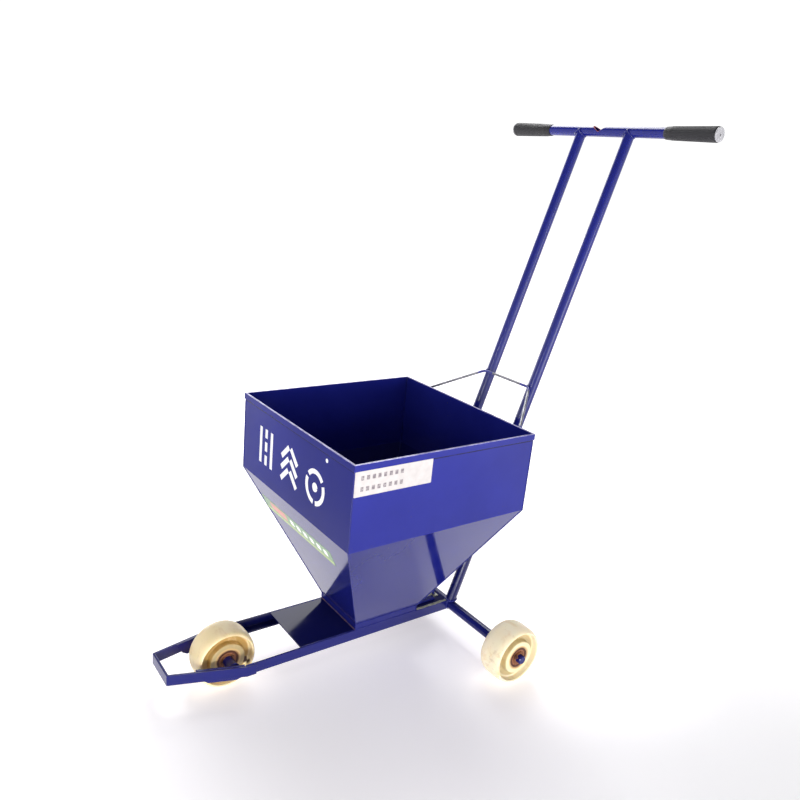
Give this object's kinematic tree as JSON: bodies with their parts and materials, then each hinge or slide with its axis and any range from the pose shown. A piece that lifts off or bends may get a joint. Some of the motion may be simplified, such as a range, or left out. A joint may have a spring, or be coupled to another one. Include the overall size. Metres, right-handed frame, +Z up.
{
  "type": "line striping machine",
  "caption": "Walk-behind line marking cart: open square powder hopper with a sliding outlet shutter on a three-wheeled angle-iron chassis, pushed by a T-handle.",
  "frame": {"origin": "middle of the whole machine's box in plan, on the ground", "axes": "+Z up, -Y the direction of travel, +X to the left of the person pushing"},
  "size_m": [0.569, 0.934, 1.0475],
  "materials": {
    "blue_paint": "glossy brushed-on enamel over welded steel",
    "bare_steel": "bare sheet, dull with powder dust",
    "galvanised_wire": "dull drawn wire",
    "rusted_steel": "light surface rust",
    "cap_plastic": "pale moulded plastic",
    "bearing_balls": "polished",
    "nylon": "cast nylon, yellowed and stained",
    "grip_rubber": "matt moulded rubber"
  },
  "bodies": {
    "cart": {"hopper_front": "blue_paint", "hopper_rear": "blue_paint", "hopper_left": "blue_paint", "hopper_right": "blue_paint", "base_plate": "blue_paint", "shutter_guides": "blue_paint", "rail_left": "blue_paint", "rail_right": "blue_paint", "nose_bar": "blue_paint", "axle_plate_left": "blue_paint", "axle_plate_right": "blue_paint", "front_axle": "blue_paint", "front_spacers": "blue_paint", "rear_axle_tube": "blue_paint", "rear_axle": "blue_paint", "rear_washers": "rusted_steel", "split_pins": "rusted_steel", "handle_tube_left": "blue_paint", "handle_tube_right": "blue_paint", "cross_bar": "blue_paint", "grip_left": "grip_rubber", "grip_right": "grip_rubber", "bar_caps": "cap_plastic", "stay_rod": "galvanised_wire", "front_inner_races": "rusted_steel", "left_inner_races": "rusted_steel", "right_inner_races": "rusted_steel"},
    "shutter": {"shutter_plate": "bare_steel", "shutter_pull": "blue_paint"},
    "front_roller": {"front_wheel": "nylon", "front_outer_races": "rusted_steel", "front_balls": "bearing_balls", "front_shields": "rusted_steel"},
    "left_roller": {"left_wheel": "nylon", "left_outer_races": "rusted_steel", "left_balls": "bearing_balls", "left_shields": "rusted_steel"},
    "right_roller": {"right_wheel": "nylon", "right_outer_races": "rusted_steel", "right_balls": "bearing_balls", "right_shields": "rusted_steel"}
  },
  "joints": [
    {"name": "front_wheel_spin", "type": "hinge", "parent": "cart", "child": "front_roller", "pos_m": [0, -0.355, 0.056], "axis": [1, 0, 0], "continuous": true},
    {"name": "left_wheel_spin", "type": "hinge", "parent": "cart", "child": "left_roller", "pos_m": [0.2485, 0.126, 0.056], "axis": [1, 0, 0], "continuous": true},
    {"name": "right_wheel_spin", "type": "hinge", "parent": "cart", "child": "right_roller", "pos_m": [-0.2485, 0.126, 0.056], "axis": [1, 0, 0], "continuous": true},
    {"name": "shutter_slide", "type": "slide", "parent": "cart", "child": "shutter", "axis": [0, 1, 0], "range_m": [0, 0.06]}
  ]
}
